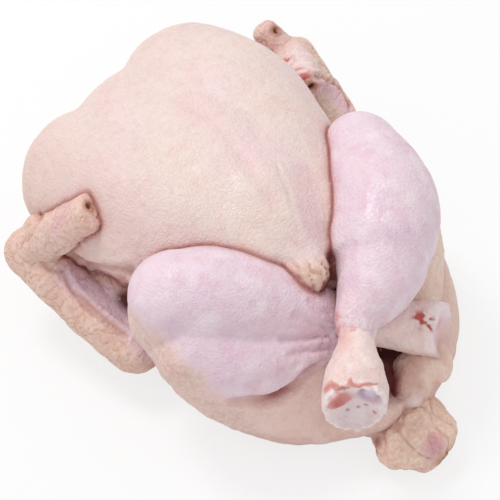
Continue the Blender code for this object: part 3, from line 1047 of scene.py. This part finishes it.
def sculpt_vent_fold(skin):
    folds = skin.grain((0.16, 0.03, 0.07), 57.0)
    skin.push(2.0 * folds + 0.6 * skin.grain(0.1, 58.0) + 0.2 * skin.grain(0.3, 59.0))
    skin.write()
    # Painted shade in the dips of the folds.
    skin.paint(0.6 * smooth_step(0.0, -0.4, folds), (0.74, 0.48, 0.4))
    skin.paint(0.8 * smooth_step(20, 8, skin.points[:, 0]), (0.8, 0.55, 0.45))
    skin.paint(1.5 * skin.near([(8, -80, 32), (6, -86, 27)], 8), DEEP_SHADE)
    skin.paint(skin.near([(9, -97, 30), (3, -95, 28)], 6), (0.92, 0.8, 0.76))
    skin.follicles[:] = 0.4
    skin.crinkle[:] = 0.6


tail = build_tail()
sculpt_tail(tail)
vent_fold = build_vent_fold()
sculpt_vent_fold(vent_fold)

# %% [markdown]
# Where two parts of the bird press together, shade is painted into the skin as a darker, redder tint.
# Each piece is shaded by its distance from the others, and then every piece is handed over to the frame.

# %% Painted contact shade, and handing over
CONTACT_REACH = 5.0
NO_CONTACT = 9.0


def shade_contacts(skins):
    """Paints shade into each piece where it comes close to another."""
    one_limb = [{"leg_" + side, "shank_" + side} for side in legs]
    graph = bpy.context.evaluated_depsgraph_get()
    trees = [BVHTree.FromObject(skin.obj, graph) for skin in skins]
    for skin in skins:
        places = skin.points * MM + np.array(PLACE)
        gap = np.full(skin.count, NO_CONTACT)
        for other, tree in zip(skins, trees):
            if other is skin or {skin.obj.name, other.obj.name} in one_limb:
                continue
            low = other.points.min(axis=0) - CONTACT_REACH
            high = other.points.max(axis=0) + CONTACT_REACH
            for i in np.flatnonzero(((skin.points > low) & (skin.points < high)).all(axis=1)):
                nearest = tree.find_nearest(places[i], CONTACT_REACH * MM)
                if nearest[0] is not None:
                    gap[i] = min(gap[i], nearest[3] / MM)
        raised = smooth_step(30.0, 55.0, skin.points[:, 2])
        gap[skin.tint.mean(axis=1) < 0.3] = NO_CONTACT
        # Painted shade: a red-brown tint near other pieces, and a darker one close in, higher up.
        skin.paint((0.2 + 0.35 * raised) * smooth_step(CONTACT_REACH, 0.5, gap), (0.7, 0.4, 0.37))
        skin.paint(0.75 * raised * smooth_step(2.0, 0.4, gap), (0.38, 0.12, 0.1))


skins = [torso, *legs.values(), *shanks.values(), *wings.values(), tail, vent_fold]
shade_contacts(skins)
for skin in skins:
    skin.finish(skin_finish)

# %% [markdown]
# The bird stands on a plain pale floor in soft studio light. A lamp behind and above the neck end gives
# the sheen, and the white world fills the shadows. The camera sees the floor and the world as white, and
# the floor keeps a light shadow.

# %% Floor, light and camera
WHITE_SHARE = 0.75
WORLD_LEVEL = 0.74
VIEW_AZIMUTH = -44.0
VIEW_ELEVATION = 55.0
VIEW_DISTANCE = 0.8
VIEW_LENS = 126.72


def pale_floor():
    bm = bmesh.new()
    bmesh.ops.create_grid(bm, x_segments=1, y_segments=1, size=3.0)
    floor = mesh_of("floor", bm)
    paint = Finish("pale_floor")
    paint.surface(Base_Color=(0.9, 0.9, 0.9, 1.0), Roughness=0.9)
    white = paint.node("ShaderNodeEmission", (), {"Color": (1, 1, 1, 1), "Strength": 1.0})
    seen = paint.node("ShaderNodeLightPath", output="Is Camera Ray")
    matt = Socket(paint, paint.shader.outputs[0])
    mixed = paint.node("ShaderNodeMixShader", (), {0: seen * WHITE_SHARE, 1: matt, 2: white})
    out = paint.tree.nodes["Material Output"]
    paint.feed(out, {"Surface": mixed})
    floor.data.materials.append(paint.material)
    floor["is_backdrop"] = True


def white_world():
    world = bpy.data.worlds.new("studio")
    bpy.context.scene.world = world
    world.use_nodes = True
    nodes, links = world.node_tree.nodes, world.node_tree.links
    path = nodes.new("ShaderNodeLightPath")
    level = nodes.new("ShaderNodeMapRange")
    level.inputs["To Min"].default_value = WORLD_LEVEL
    level.inputs["To Max"].default_value = 1.0
    links.new(path.outputs["Is Camera Ray"], level.inputs["Value"])
    links.new(level.outputs[0], nodes["Background"].inputs["Strength"])
    nodes["Background"].inputs["Color"].default_value = (1.0, 1.0, 1.0, 1.0)


def lamp(name, place, aim, power, size):
    light = bpy.data.lights.new(name, "AREA")
    light.energy = power
    light.size = size
    stand = bpy.data.objects.new(name, light)
    bpy.context.scene.collection.objects.link(stand)
    stand.location = place
    stand.rotation_euler = (Vector(aim) - Vector(place)).to_track_quat("-Z", "Y").to_euler()


def camera(aim, azimuth, elevation, distance, lens):
    made = bpy.data.cameras.new("camera")
    made.lens = lens
    made.clip_start = 0.01
    stand = bpy.data.objects.new("camera", made)
    bpy.context.scene.collection.objects.link(stand)
    a, e = math.radians(azimuth), math.radians(elevation)
    back = Vector((math.sin(a) * math.cos(e), -math.cos(a) * math.cos(e), math.sin(e)))
    stand.location = aim + back * distance
    stand.rotation_euler = (-back).to_track_quat("-Z", "Y").to_euler()
    bpy.context.scene.camera = stand


pale_floor()
white_world()
lamp("window", (-0.1, 0.55, 1.1), (0, 0, 0.05), 5.5, 0.3)
camera(mm(0, 0, 55), VIEW_AZIMUTH, VIEW_ELEVATION, VIEW_DISTANCE, VIEW_LENS)
bpy.context.scene.view_settings.view_transform = "Standard"

# %% Measure
sizes = {"cad": [list(corner) for corner in cad_box], "visual": [list(corner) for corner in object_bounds()]}
for name, box in sizes.items():
    print(name, "box, mm:", [[round(value / MM, 1) for value in corner] for corner in box])
